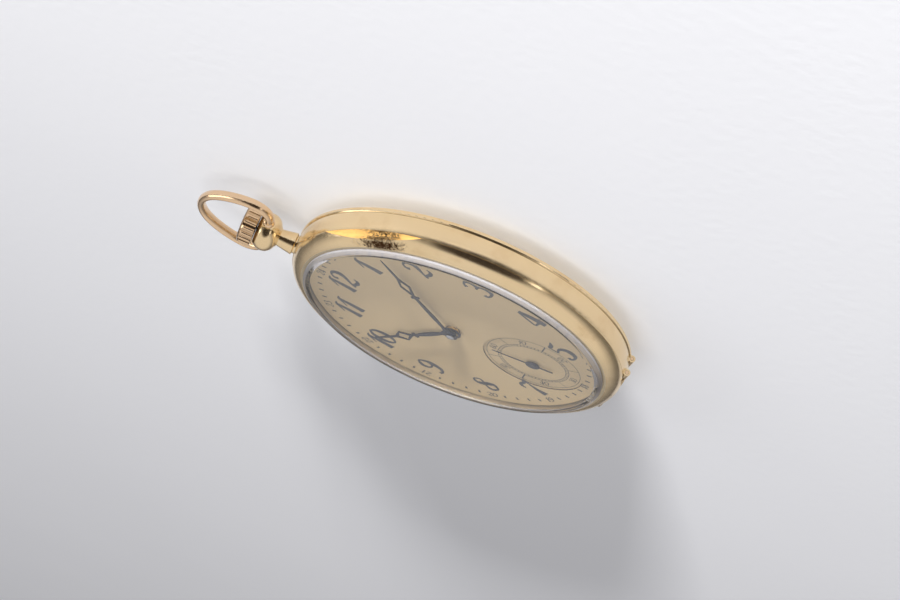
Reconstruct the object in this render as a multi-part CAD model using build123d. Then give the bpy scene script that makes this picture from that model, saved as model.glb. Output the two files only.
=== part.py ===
from build123d import *
from math import atan2, cos, degrees, hypot, pi, radians, sin, sqrt
import os

# Millimetres. Z is the height above the table with the watch on its back,
# Y points to 12 o'clock and the pendant, X to 3 o'clock.

# Case
CASE_RADIUS = 24.8
JOINT_RADIUS = 24.6
BEZEL_JOINT_Z = 6.0
BACK_JOINT_Z = 3.3
LIP_RADIUS = 24.76
LIP_Z = 2.95
BACK_FLAT_RADIUS = 12.0
BACK_EDGE_Z = 2.5
BACK_WALL = 0.45
COVER_INNER_RADIUS = 23.15
BEZEL_BORE = 21.9
BEZEL_LIP_Z = 7.62
CRYSTAL_RADIUS = 22.2
CRYSTAL_FOOT_RADIUS = 22.5
CRYSTAL_SHOULDER_RADIUS = 21.1
CRYSTAL_SHOULDER_Z = 8.35
CRYSTAL_TOP_Z = 8.95
CRYSTAL_UNDER_Z = 8.1
CUVETTE_RADIUS = 22.8
CUVETTE_FLAT_RADIUS = 18.0
CUVETTE_Z = 1.15
CUVETTE_WALL = 0.25

# Opening notch of the bezel
NOTCH_CLOCK_ANGLE = 48.0
NOTCH_DISTANCE = 23.2
NOTCH_LEAN = 32.0

# Case hinges at 6 o'clock
HINGE_Y = -23.85
BEZEL_HINGE_Z = 5.45
BACK_HINGE_Z = 3.3
KNUCKLE_RADIUS = 0.5
RELIEF_RADIUS = 0.62
RELIEF_DEPTH = 0.72
HINGE_HALF_LENGTH = 7.5
HINGE_PIN_RADIUS = 0.24
HINGE_BORE = 0.28
HINGE_GAP = 0.1

# Pendant, crown and bow
STEM_Z = 4.65
SOCKET_RADIUS = 1.3
NECK_START_Y = 23.3
NECK_SHOULDER_Y = 24.88
NECK_RADIUS = 1.6
NECK_END_RADIUS = 1.22
BULB_START_Y = 27.25
BULB_MIDDLE_Y = 29.1
BULB_RADIUS = 2.75
BULB_TOP_Y = 30.55
BULB_TOP_RADIUS = 2.1
STEM_RADIUS = 0.7
STEM_BORE = 0.75
CROWN_START_Y = 30.7
CROWN_LENGTH = 2.25
CROWN_RADIUS = 2.95
CROWN_RIBS = 20
BOW_PIVOT_Y = 29.3
BOW_TILT = -1.5
BOW_LOBE_X = 3.55
BOW_LOBE_RADIUS = 0.85
BOW_PIN_RADIUS = 0.45
BOW_WIRE_WIDTH = 1.15
BOW_WIRE_DEPTH = 1.5
BOW_SHOULDER_X = 4.45
BOW_SHOULDER_RADIUS = 2.6
BOW_SHOULDER_END = 10.0
BOW_SIDE_RADIUS = 9.5
BOW_SIDE_END = 42.0

# Movement levels
PLATE_TOP_Z = 6.0
PLATE_LEDGE_Z = 5.2
PLATE_BOTTOM_Z = 4.65
PLATE_RADIUS = 21.0
PLATE_BODY_RADIUS = 20.55
BRIDGE_LOW_Z = 2.15
BRIDGE_HIGH_Z = 2.75
BRIDGE_RADIUS = 19.4
JEWEL_RADIUS = 0.75
JEWEL_DEPTH = 0.3
PIVOT_RADIUS = 0.1
PIVOT_BORE = 0.12

# Train: module, wheel teeth and pinion leaves
BARREL_MODULE = 0.2
BARREL_TEETH = 84
CENTRE_LEAVES = 12
CENTRE_MODULE = 0.17
CENTRE_TEETH = 80
THIRD_LEAVES = 10
THIRD_MODULE = 0.15
THIRD_TEETH = 75
FOURTH_LEAVES = 10
FOURTH_MODULE = 0.12
FOURTH_TEETH = 80
ESCAPE_LEAVES = 8
ESCAPE_TEETH = 15
ESCAPE_RADIUS = 3.4
PALLET_DISTANCE = 3.926
BALANCE_DISTANCE = 4.5
ESCAPE_LINE_ANGLE = 39.5
BALANCE_RADIUS = 5.5
IMPULSE_RADIUS = 1.1

# Winding and setting
WINDING_MODULE = 0.25
CROWN_WHEEL_TEETH = 36
RATCHET_TEETH = 53
WINDING_LEAVES = 12
CONTRATE_TEETH = 30
CONTRATE_RADIUS = 3.0
FACE_MODULE = 0.2
MOTION_MODULE = 0.2
CANNON_LEAVES = 12
MINUTE_TEETH = 36
MINUTE_LEAVES = 10
HOUR_TEETH = 40
SETTING_TEETH = 16

# Dial and hands
DIAL_RADIUS = 21.6
DIAL_THICKNESS = 0.4
SECONDS_OFFSET = 12.14
SECONDS_RECESS_RADIUS = 7.4
SECONDS_RECESS_DEPTH = 0.15
MINUTE_HAND_ANGLE = 48.0
HOUR_HAND_ANGLE = 304.0
SECONDS_HAND_ANGLE = 354.0
MINUTE_HAND_Z = 7.3
HOUR_HAND_Z = 6.85
SECONDS_HAND_Z = 6.55


def polar(centre, distance, angle):
    """The point at a distance and an angle in degrees from a centre."""
    return (
        centre[0] + distance * cos(radians(angle)),
        centre[1] + distance * sin(radians(angle)),
    )


def corner(first, reach, second, other_reach):
    """The point at two given distances from two points, to the right of the line between them."""
    dx = second[0] - first[0]
    dy = second[1] - first[1]
    span = hypot(dx, dy)
    along = (reach**2 - other_reach**2 + span**2) / (2 * span)
    aside = sqrt(reach**2 - along**2)
    return (
        first[0] + (dx * along - dy * aside) / span,
        first[1] + (dy * along + dx * aside) / span,
    )


def between(module, teeth, leaves):
    """Centre distance of a wheel and a pinion."""
    return module * (teeth + leaves) / 2


CENTRE = (0.0, 0.0)
FOURTH = (0.0, -SECONDS_OFFSET)
THIRD = corner(
    CENTRE,
    between(CENTRE_MODULE, CENTRE_TEETH, THIRD_LEAVES),
    FOURTH,
    between(THIRD_MODULE, THIRD_TEETH, FOURTH_LEAVES),
)
ESCAPE = polar(FOURTH, between(FOURTH_MODULE, FOURTH_TEETH, ESCAPE_LEAVES), -14.6)
PALLET = polar(ESCAPE, PALLET_DISTANCE, ESCAPE_LINE_ANGLE)
BALANCE = polar(PALLET, BALANCE_DISTANCE, ESCAPE_LINE_ANGLE)
BARREL = polar(CENTRE, between(BARREL_MODULE, BARREL_TEETH, CENTRE_LEAVES), 150)
WINDING_SPAN = between(WINDING_MODULE, CROWN_WHEEL_TEETH, RATCHET_TEETH)
CROWN_WHEEL = (0.0, BARREL[1] + sqrt(WINDING_SPAN**2 - BARREL[0] ** 2))
MINUTE_WHEEL = polar(CENTRE, between(MOTION_MODULE, MINUTE_TEETH, CANNON_LEAVES), 70.5)
SETTING_WHEEL = polar(MINUTE_WHEEL, between(MOTION_MODULE, MINUTE_TEETH, SETTING_TEETH), 98)
HOUR_MODULE = 2 * between(MOTION_MODULE, MINUTE_TEETH, CANNON_LEAVES) / (MINUTE_LEAVES + HOUR_TEETH)
WINDING_Y = CROWN_WHEEL[1] + CONTRATE_RADIUS
SETTING_LEVER_PIVOT = (3.2, 17.35)
YOKE_PIVOT = (-3.6, 15.6)
CLICK_PIVOT = polar(BARREL, 8.75, 215)
BARREL_PILLARS = [polar(CENTRE, 18.2, angle) for angle in (55, 108, 195)]
TRAIN_PILLARS = [polar(CENTRE, 18.4, 255), polar(CENTRE, 18.6, 283), (-8.0, -7.5)]
COCK_FOOT = (15.4, 1.2)
PALLET_COCK_FOOT = (11.6, -14.2)


def disc(radius, low, high, at=CENTRE):
    """Upright cylinder between two heights."""
    cylinder = Cylinder(radius, high - low, align=(Align.CENTER, Align.CENTER, Align.MIN))
    return Pos(at[0], at[1], low) * cylinder


def ring(inner, outer, low, high, at=CENTRE):
    """Upright tube between two heights."""
    return disc(outer, low, high, at) - disc(inner, low - 1, high + 1, at)


def stack(at, *steps):
    """Arbor made of cylinders, each given as radius, low and high."""
    shape = disc(*steps[0], at)
    for step in steps[1:]:
        shape += disc(*step, at)
    return shape


def block(low, high):
    """Box between two opposite corners."""
    size = [b - a for a, b in zip(low, high)]
    return Pos(*low) * Box(*size, align=(Align.MIN, Align.MIN, Align.MIN))


def bar(start, end, width, low, high):
    """Flat bar with round ends."""
    dx = end[0] - start[0]
    dy = end[1] - start[1]
    middle = ((start[0] + end[0]) / 2, (start[1] + end[1]) / 2)
    web = Rot(0, 0, degrees(atan2(dy, dx))) * Box(hypot(dx, dy), width, high - low)
    shape = Pos(middle[0], middle[1], (low + high) / 2) * web
    shape += disc(width / 2, low, high, start)
    shape += disc(width / 2, low, high, end)
    return shape


def turned(*steps):
    """Solid turned about Z. A step is radius and height, or an arc's middle point and its end."""
    edges = []
    here = steps[0]
    for step in steps[1:] + (steps[0],):
        start = (here[0], 0, here[1])
        end = (step[-2], 0, step[-1])
        if len(step) == 4:
            edges.append(ThreePointArc(start, (step[0], 0, step[1]), end))
        else:
            edges.append(Line(start, end))
        here = step[-2:]
    return revolve(make_face(edges), Axis.Z)


def cap_arc(edge_radius, edge_z, top):
    """Middle and end of an arc that rises from an edge to a rounded top on the axis."""
    drop = top - edge_z
    ball = (edge_radius**2 + drop**2) / (2 * drop)
    middle = edge_radius / 2
    return (middle, top - ball + sqrt(ball**2 - middle**2), 0, top)


def along_stem(shape):
    """Puts a shape turned about Z on the stem's axis, its heights becoming distances toward 12."""
    return Pos(0, 0, STEM_Z) * Rot(-90, 0, 0) * shape


def prism(points, low, high):
    """Upright prism on a closed outline of points."""
    corners = [(x, y, low) for x, y in points]
    return extrude(make_face(Polyline(*corners, close=True)), amount=high - low, dir=(0, 0, 1))


def rounded_plate(points, spread, low, high):
    """Flat plate around a set of corner points, with round corners."""
    corners = [(x, y, 0) for x, y in points]
    outline = offset(make_face(Polyline(*corners, close=True)), amount=spread)
    return Pos(0, 0, low) * extrude(outline, amount=high - low, dir=(0, 0, 1))


def clock_turn(angle):
    """Rotation that carries the 12 o'clock direction clockwise."""
    return Rot(0, 0, -angle)


def toothed(teeth, module, low, high, phase=0.0, leaf=False, at=CENTRE):
    """Spur wheel or pinion. The phase is the angle in degrees of one tooth's middle."""
    pitch = module * teeth / 2
    root = pitch - (1.45 if leaf else 1.05) * module
    outer = pitch + (0.7 if leaf else 1.05) * module
    share = 0.19 if leaf else 0.22
    step = 2 * pi / teeth
    flanks = (
        (root, share * (1.0 if leaf else 1.25)),
        (pitch, share),
        (outer, share * 0.45),
    )
    points = []
    for tooth in range(teeth):
        middle = radians(phase) + tooth * step
        for radius, half in flanks:
            points.append(polar(at, radius, degrees(middle - half * step)))
        for radius, half in reversed(flanks):
            points.append(polar(at, radius, degrees(middle + half * step)))
    return prism(points, low, high)


def crossings(inner, outer, spokes, width, low, high, at=CENTRE):
    """Openings between the spokes of a wheel."""
    gaps = ring(inner, outer, low - 0.5, high + 0.5)
    middle = (inner + outer) / 2
    for spoke in range(spokes):
        web = Pos(middle, 0, (low + high) / 2) * Box(outer - inner + 2, width, high - low + 2)
        gaps -= Rot(0, 0, spoke * 360 / spokes) * web
    return Pos(at[0], at[1], 0) * gaps


def meshing(first, first_teeth, first_phase, second, second_teeth):
    """Phase in degrees that puts a wheel's gap over a tooth of the wheel it meets."""
    line = degrees(atan2(second[1] - first[1], second[0] - first[0]))
    behind = (line - first_phase) / (360 / first_teeth)
    return line + 180 - 360 / second_teeth * (0.5 - behind)


def face_tooth(inner, outer, foot, tip, base, top):
    """Radial ridge along X that stands on a face."""
    corners = [
        (inner, -foot / 2, base),
        (inner, foot / 2, base),
        (inner, tip / 2, top),
        (inner, -tip / 2, top),
    ]
    return extrude(make_face(Polyline(*corners, close=True)), amount=outer - inner, dir=(1, 0, 0))


def face_teeth(count, inner, outer, foot, tip, base, top, phase=0.0):
    """Ring of radial ridges."""
    ridge = face_tooth(inner, outer, foot, tip, base, top)
    return [Rot(0, 0, phase + n * 360 / count) * ridge for n in range(count)]


def screw(at, face, head_radius, head_height, shank_radius, length):
    """Slotted screw whose head faces the back of the watch."""
    shape = disc(head_radius, face, face + head_height, at)
    shape += disc(shank_radius, face + head_height, face + head_height + length, at)
    slot = Box(2 * head_radius + 1, 0.24 * head_radius, 0.5 * head_height)
    return shape - Pos(at[0], at[1], face + 0.2 * head_height) * slot


def spiral(inner, outer, turns, thickness, low, high, at, start=0.0):
    """Flat coiled ribbon."""
    count = int(turns * 16)
    sides = []
    for side in (-thickness / 2, thickness / 2):
        points = []
        for n in range(count + 1):
            radius = inner + (outer - inner) * n / count + side
            x, y = polar(at, radius, start + n * 360 * turns / count)
            points.append((x, y, low))
        sides.append(points)
    edges = [Spline(*sides[0]), Line(sides[0][-1], sides[1][-1])]
    edges += [Spline(*sides[1]), Line(sides[1][0], sides[0][0])]
    return extrude(make_face(edges), amount=high - low, dir=(0, 0, 1))


def group(shapes):
    """Several solids kept as one piece list."""
    solids = []
    for shape in shapes:
        solids += list(shape.solids())
    return Compound(children=solids)


def hinge_cylinder(radius, start, end, hinge_z):
    """Cylinder along a case hinge between two distances from the middle."""
    tube = Rot(0, 90, 0) * Cylinder(radius, end - start)
    return Pos((start + end) / 2, HINGE_Y, hinge_z) * tube


def hinge_relief(hinge_z):
    """Room for the knuckles of one case hinge, open toward 6 o'clock."""
    reach = HINGE_HALF_LENGTH + HINGE_GAP
    shape = hinge_cylinder(RELIEF_RADIUS, -reach, reach, hinge_z)
    shape += block(
        (-reach, -CASE_RADIUS - 1, hinge_z - RELIEF_DEPTH),
        (reach, HINGE_Y, hinge_z + RELIEF_RADIUS),
    )
    return shape


def knuckle(start, end, hinge_z, web_end, web):
    """Hinge tube and the web that ties it to its part, the web given in distances from the hinge."""
    low_y, high_y, low_z, high_z = web
    tube = hinge_cylinder(KNUCKLE_RADIUS, start, end, hinge_z)
    return tube + block(
        (start, HINGE_Y + low_y, hinge_z + low_z),
        (web_end, HINGE_Y + high_y, hinge_z + high_z),
    )


def knuckle_pair(start, end, hinge_z, web_end, web):
    """Two knuckles, one on either side of the middle."""
    side = knuckle(start, end, hinge_z, web_end, web)
    return side + mirror(side, Plane.YZ)


def hinge_bore(hinge_z):
    return hinge_cylinder(HINGE_BORE, -20, 20, hinge_z)


def case_middle():
    band = turned(
        (21.6, BACK_JOINT_Z),
        (JOINT_RADIUS, BACK_JOINT_Z),
        (CASE_RADIUS, STEM_Z, JOINT_RADIUS, BEZEL_JOINT_Z),
        (21.02, BEZEL_JOINT_Z),
        (21.02, PLATE_LEDGE_Z),
        (20.6, PLATE_LEDGE_Z),
        (20.6, PLATE_BOTTOM_Z),
        (21.6, PLATE_BOTTOM_Z),
    )
    band -= along_stem(disc(SOCKET_RADIUS, NECK_START_Y, 26))
    band -= along_stem(disc(STEM_BORE, 19, 26))
    band -= hinge_relief(BEZEL_HINGE_Z)
    band -= hinge_relief(BACK_HINGE_Z)
    band += knuckle(-2.5, 2.5, BEZEL_HINGE_Z, 2.5, (0, 0.75, -0.45, 0))
    band += knuckle_pair(1.6, 4.5, BACK_HINGE_Z, 4.5, (0, 0.75, 0, 0.45))
    band -= hinge_bore(BEZEL_HINGE_Z)
    band -= hinge_bore(BACK_HINGE_Z)
    return band


def bezel_notch():
    """Wedge taken out of the bezel's lower edge for a thumb nail."""
    wedge = block((-12, NOTCH_DISTANCE, -3.0), (12, NOTCH_DISTANCE + 6, 6.0))
    lean = Pos(0, NOTCH_DISTANCE, BEZEL_JOINT_Z) * Rot(-NOTCH_LEAN, 0, 0)
    return clock_turn(NOTCH_CLOCK_ANGLE) * lean * Pos(0, -NOTCH_DISTANCE, 0) * wedge


def bezel():
    rim = turned(
        (BEZEL_BORE, BEZEL_JOINT_Z),
        (JOINT_RADIUS - 0.05, BEZEL_JOINT_Z),
        (23.78, 7.12, CRYSTAL_RADIUS + 0.28, BEZEL_LIP_Z + 0.02),
        (CRYSTAL_RADIUS + 0.1, BEZEL_LIP_Z + 0.03, CRYSTAL_RADIUS, BEZEL_LIP_Z - 0.04),
        (CRYSTAL_RADIUS, 7.5),
        (CRYSTAL_FOOT_RADIUS, 7.5),
        (CRYSTAL_FOOT_RADIUS, 7.1),
        (BEZEL_BORE, 7.1),
    )
    rim -= bezel_notch()
    rim -= hinge_relief(BEZEL_HINGE_Z)
    rim += knuckle_pair(2.5 + HINGE_GAP, HINGE_HALF_LENGTH, BEZEL_HINGE_Z, 5.8, (-0.25, 0.25, 0, 0.75))
    rim -= hinge_bore(BEZEL_HINGE_Z)
    return rim


def crystal():
    return turned(
        (0, CRYSTAL_UNDER_Z),
        (*cap_arc(21.1, 7.62, CRYSTAL_UNDER_Z)[:2], 21.1, 7.62),
        (21.6, 7.1),
        (CRYSTAL_FOOT_RADIUS, 7.1),
        (CRYSTAL_FOOT_RADIUS, 7.5),
        (CRYSTAL_RADIUS, 7.5),
        (CRYSTAL_RADIUS, 7.95),
        (21.85, 8.2, CRYSTAL_SHOULDER_RADIUS, CRYSTAL_SHOULDER_Z),
        cap_arc(CRYSTAL_SHOULDER_RADIUS, CRYSTAL_SHOULDER_Z, CRYSTAL_TOP_Z),
    )


def back_cover():
    dome = (LIP_RADIUS - 0.35 - BACK_FLAT_RADIUS) / 2
    shell = turned(
        (0, 0),
        (BACK_FLAT_RADIUS, 0),
        (BACK_FLAT_RADIUS + dome, BACK_EDGE_Z * 0.26, LIP_RADIUS - 0.35, BACK_EDGE_Z),
        (LIP_RADIUS, LIP_Z - 0.13, LIP_RADIUS - 0.03, LIP_Z + 0.2),
        (JOINT_RADIUS + 0.04, BACK_JOINT_Z - 0.02),
        (COVER_INNER_RADIUS, BACK_JOINT_Z - 0.02),
        (COVER_INNER_RADIUS, BACK_EDGE_Z + 0.15),
        (
            BACK_FLAT_RADIUS + dome - 0.2,
            BACK_EDGE_Z * 0.26 + BACK_WALL - 0.03,
            BACK_FLAT_RADIUS - 0.2,
            BACK_WALL,
        ),
        (0, BACK_WALL),
    )
    shell -= hinge_relief(BACK_HINGE_Z)
    reach = HINGE_HALF_LENGTH + HINGE_GAP
    shell -= block((-reach, -CASE_RADIUS - 1, 1.0), (reach, HINGE_Y, BACK_JOINT_Z))
    shell -= block((-1.6, -CASE_RADIUS - 1, 2.55), (1.6, -22.9, BACK_JOINT_Z + 0.5))
    web = (0, 0.75, -0.45, 0)
    shell += knuckle_pair(4.5 + HINGE_GAP, HINGE_HALF_LENGTH, BACK_HINGE_Z, HINGE_HALF_LENGTH, web)
    shell -= hinge_bore(BACK_HINGE_Z)
    return shell


def cuvette():
    rim_z = BACK_JOINT_Z - 0.1
    cup = turned(
        (0, CUVETTE_Z),
        (CUVETTE_FLAT_RADIUS, CUVETTE_Z),
        (CUVETTE_RADIUS - 0.4, rim_z - 0.35),
        (CUVETTE_RADIUS, rim_z - 0.3),
        (CUVETTE_RADIUS, rim_z),
        (CUVETTE_RADIUS - 0.5, rim_z),
        (CUVETTE_FLAT_RADIUS - 0.1, CUVETTE_Z + CUVETTE_WALL),
        (0, CUVETTE_Z + CUVETTE_WALL),
    )
    cup += block((-1.5, HINGE_Y, rim_z - 0.3), (1.5, 0.4 - CUVETTE_RADIUS, rim_z))
    cup += hinge_cylinder(KNUCKLE_RADIUS, -1.5, 1.5, BACK_HINGE_Z)
    return cup - hinge_bore(BACK_HINGE_Z)


def hinge_pin(hinge_z):
    return hinge_cylinder(HINGE_PIN_RADIUS, -HINGE_HALF_LENGTH, HINGE_HALF_LENGTH, hinge_z)


def case_screws():
    screws = []
    for angle in (28, 205):
        screws.append(screw(polar(CENTRE, 20.15, angle), 4.35, 0.75, 0.3, 0.3, 0.75))
    return group(screws)


def pendant():
    shape = turned(
        (0.0, NECK_START_Y),
        (SOCKET_RADIUS, NECK_START_Y),
        (SOCKET_RADIUS, NECK_SHOULDER_Y),
        (NECK_RADIUS, NECK_SHOULDER_Y + 0.15),
        (NECK_END_RADIUS, BULB_START_Y),
        (NECK_END_RADIUS + 0.38, BULB_START_Y + 0.25),
        (BULB_RADIUS, BULB_MIDDLE_Y, BULB_TOP_RADIUS, BULB_TOP_Y),
        (BULB_TOP_RADIUS - 0.5, BULB_TOP_Y),
        (BULB_TOP_RADIUS - 0.7, BULB_TOP_Y - 0.3),
        (0.0, BULB_TOP_Y - 0.3),
    )
    shape = along_stem(shape - disc(STEM_BORE, 20, 32))
    hole = Rot(0, 90, 0) * Cylinder(BOW_PIN_RADIUS + 0.05, 1.6)
    for side in (-1, 1):
        shape -= Pos(side * BULB_RADIUS, BOW_PIVOT_Y, STEM_Z) * hole
    return shape


def crown():
    flutes = disc(CROWN_RADIUS - 0.2, 0, CROWN_LENGTH)
    rib = 0.62 * pi * CROWN_RADIUS / CROWN_RIBS
    for n in range(CROWN_RIBS):
        at = polar(CENTRE, CROWN_RADIUS - rib, n * 360 / CROWN_RIBS)
        flutes += disc(rib, 0, CROWN_LENGTH, at)
    outline = turned(
        (0, 0),
        (CROWN_RADIUS - 0.35, 0),
        (CROWN_RADIUS - 0.04, 0.12, CROWN_RADIUS + 0.02, 0.45),
        (CROWN_RADIUS + 0.02, CROWN_LENGTH - 0.95),
        (CROWN_RADIUS - 0.18, CROWN_LENGTH - 0.4, CROWN_RADIUS - 0.8, CROWN_LENGTH - 0.12),
        cap_arc(CROWN_RADIUS - 0.8, CROWN_LENGTH - 0.12, CROWN_LENGTH),
    )
    shape = flutes & outline
    shape -= disc(STEM_RADIUS, -1, CROWN_LENGTH - 0.75)
    return along_stem(Pos(0, 0, CROWN_START_Y) * shape)


def stem():
    end = CROWN_START_Y + CROWN_LENGTH - 0.75
    shape = disc(STEM_RADIUS, 16.25, end) - ring(0.45, 2, 17.1, 17.6)
    shape += disc(0.6, 14.6, 16.25)
    shape += block((-0.42, -0.42, 11.4), (0.42, 0.42, 14.6))
    return along_stem(shape)


def arc_about(centre, radius, start, end):
    """Arc about a centre between two angles in degrees."""
    points = [polar(centre, radius, angle) for angle in (start, (start + end) / 2, end)]
    return ThreePointArc(*points)


def bow_path():
    """Middle line of half the bow, from the pivot's side to the top, in tangent arcs."""
    shoulder = (BOW_SHOULDER_X, BOW_SHOULDER_RADIUS)
    side = polar(shoulder, BOW_SHOULDER_RADIUS - BOW_SIDE_RADIUS, BOW_SHOULDER_END)
    knee = polar(side, BOW_SIDE_RADIUS, BOW_SIDE_END)
    top_radius = knee[0] / cos(radians(BOW_SIDE_END))
    top = polar(knee, -top_radius, BOW_SIDE_END)
    return Wire(
        [
            Line((BULB_RADIUS + 0.55, 0), (BOW_SHOULDER_X, 0)),
            arc_about(shoulder, BOW_SHOULDER_RADIUS, -90, BOW_SHOULDER_END),
            arc_about(side, BOW_SIDE_RADIUS, BOW_SHOULDER_END, BOW_SIDE_END),
            arc_about(top, top_radius, BOW_SIDE_END, 90),
        ]
    )


def bow():
    path = bow_path()
    section = Plane(origin=path @ 0, z_dir=path % 0, x_dir=(0, 0, 1))
    half = sweep(section * Ellipse(BOW_WIRE_DEPTH / 2, BOW_WIRE_WIDTH / 2), path)
    lobe = Pos(BOW_LOBE_X, 0, 0) * Sphere(BOW_LOBE_RADIUS)
    half += lobe - block((0, -5, -5), (BULB_RADIUS + 0.08, 5, 5))
    half += Pos(BULB_RADIUS, 0, 0) * Rot(0, 90, 0) * Cylinder(BOW_PIN_RADIUS, 1.4)
    whole = half + mirror(half, Plane.YZ)
    return Pos(0, BOW_PIVOT_Y, STEM_Z) * Rot(BOW_TILT, 0, 0) * whole


TRAIN_PLACES = [THIRD, FOURTH, ESCAPE]


def main_plate():
    plate = disc(PLATE_BODY_RADIUS, PLATE_BOTTOM_Z, PLATE_LEDGE_Z)
    plate += disc(PLATE_RADIUS, PLATE_LEDGE_Z, PLATE_TOP_Z)
    plate += block((-2.2, 16.6, 3.6), (2.2, 19.9, PLATE_BOTTOM_Z))
    plate -= disc(8.85, 4, 5.05, BARREL)
    plate -= disc(0.72, 4, 7, BARREL)
    plate -= disc(0.57, 4, 7)
    plate -= disc(4.35, PLATE_LEDGE_Z, 7)
    plate -= disc(4.0, PLATE_LEDGE_Z, 7, MINUTE_WHEEL)
    plate -= disc(2.1, PLATE_LEDGE_Z, 7, SETTING_WHEEL)
    plate -= block((-1.4, 10.9, 3), (1.4, 16.3, 7))
    plate -= block((-5.0, 12.4, PLATE_LEDGE_Z), (5.0, 18.8, 7))
    plate -= block((-1.4, 14.4, 3), (1.4, 16.6, PLATE_BOTTOM_Z))
    plate -= along_stem(disc(STEM_BORE, 16, 22))
    for at in TRAIN_PLACES + [PALLET, BALANCE]:
        plate -= disc(JEWEL_RADIUS, 4, PLATE_BOTTOM_Z + JEWEL_DEPTH, at)
        plate -= disc(0.35, 4, 7, at)
    for at in BARREL_PILLARS + TRAIN_PILLARS + [COCK_FOOT, PALLET_COCK_FOOT]:
        plate -= disc(0.5, 4, 5.7, at)
    for angle in (28, 205):
        plate -= disc(0.3, 4, 5.6, polar(CENTRE, 20.15, angle))
    for angle in (30, 210):
        plate -= disc(0.42, 5.0, 7, polar(CENTRE, 16.5, angle))
        plate -= dial_screw(angle, False)
    plate += disc(0.3, 5.0, 5.75, MINUTE_WHEEL)
    plate += disc(0.4, 5.0, 5.7, SETTING_WHEEL)
    plate += disc(0.4, 5.0, 5.85, SETTING_LEVER_PIVOT)
    plate += disc(0.4, 5.0, 5.85, YOKE_PIVOT)
    return plate


def dial_screw(angle, slotted=True):
    """Small screw let into the edge of the plate, pointing at a dial foot."""
    shape = Rot(0, 90, 0) * Cylinder(0.28, 3.9, align=(Align.CENTER, Align.CENTER, Align.MIN))
    shape = Pos(17.0, 0, 5.6) * shape
    if slotted:
        shape -= Pos(20.9, 0, 5.6) * Box(0.3, 1, 0.12)
    return Rot(0, 0, angle) * shape


def dial_screws():
    return group([dial_screw(30), dial_screw(210)])


def jewels():
    stones = []
    plate_low = PLATE_BOTTOM_Z
    for at, bore in ((THIRD, PIVOT_BORE), (FOURTH, 0.2), (ESCAPE, PIVOT_BORE), (PALLET, PIVOT_BORE)):
        stones.append(ring(bore, JEWEL_RADIUS, plate_low, plate_low + JEWEL_DEPTH, at))
    stones.append(ring(PIVOT_BORE, JEWEL_RADIUS, plate_low, plate_low + JEWEL_DEPTH, BALANCE))
    for at in TRAIN_PLACES:
        stones.append(ring(PIVOT_BORE, JEWEL_RADIUS, BRIDGE_HIGH_Z - JEWEL_DEPTH, BRIDGE_HIGH_Z, at))
    stones.append(ring(PIVOT_BORE, JEWEL_RADIUS, 3.0, 3.3, PALLET))
    stones.append(ring(PIVOT_BORE, JEWEL_RADIUS, 1.7, 2.0, BALANCE))
    return group(stones)


def jewel_sink(at, face, depth_z):
    """Bevelled opening that shows a jewel from the back."""
    cone = Cone(1.15, JEWEL_RADIUS, depth_z - face, align=(Align.CENTER, Align.CENTER, Align.MIN))
    return Pos(at[0], at[1], face) * cone


def pillar_screw(at):
    return screw(at, BRIDGE_LOW_Z, 0.9, 0.3, 0.5, 2.9)


def pillared(bridge, places, radius):
    """Adds feet down to the main plate, bored and sunk for their screws."""
    for at in places:
        bridge += disc(radius, BRIDGE_HIGH_Z - 0.1, PLATE_BOTTOM_Z, at)
        bridge -= disc(0.5, 1, 5, at)
        bridge -= disc(0.9, 1, BRIDGE_LOW_Z + 0.3, at)
    return bridge


def train_outline(spread, low, high):
    corners = [CENTRE, TRAIN_PILLARS[2], TRAIN_PILLARS[0], TRAIN_PILLARS[1], ESCAPE, THIRD]
    return rounded_plate(corners, spread, low, high)


def train_bridge():
    bridge = train_outline(1.75, BRIDGE_LOW_Z, BRIDGE_HIGH_Z) & disc(BRIDGE_RADIUS, 1, 4)
    bridge -= disc(BALANCE_RADIUS + 0.8, 1, 4, BALANCE)
    bridge = pillared(bridge, TRAIN_PILLARS, 1.1)
    bridge -= disc(0.42, 1, 4)
    for at in TRAIN_PLACES:
        bridge -= disc(JEWEL_RADIUS, 1, 4, at)
        bridge -= jewel_sink(at, BRIDGE_LOW_Z, BRIDGE_HIGH_Z - JEWEL_DEPTH)
    return bridge


def barrel_bridge():
    half = prism([(-22, -7.3), (22, 10.3), (22, 22), (-22, 22)], BRIDGE_LOW_Z, BRIDGE_HIGH_Z)
    bridge = disc(BRIDGE_RADIUS, BRIDGE_LOW_Z, BRIDGE_HIGH_Z) & half
    bridge -= train_outline(2.0, 1, 4)
    bridge = pillared(bridge, BARREL_PILLARS, 1.3)
    bridge -= disc(0.92, 1, 4, BARREL)
    bridge -= disc(1.92, 1, 4, CROWN_WHEEL)
    bridge += disc(0.4, 1.7, BRIDGE_HIGH_Z, CLICK_PIVOT)
    return bridge


def bridge_screws():
    return group([pillar_screw(at) for at in BARREL_PILLARS + TRAIN_PILLARS])


def barrel_drum():
    phase = meshing(CENTRE, CENTRE_LEAVES, 0, BARREL, BARREL_TEETH)
    drum = toothed(BARREL_TEETH, BARREL_MODULE, 4.4, 4.8, phase, at=BARREL)
    drum += disc(8.0, 3.8, 5.0, BARREL)
    drum -= disc(7.7, 3, 4.85, BARREL)
    return drum - disc(0.72, 3, 6, BARREL)


def barrel_cover():
    cover = disc(7.98, 3.65, 3.8, BARREL) + disc(7.7, 3.8, 3.9, BARREL)
    return cover - disc(0.92, 3, 6, BARREL)


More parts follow.
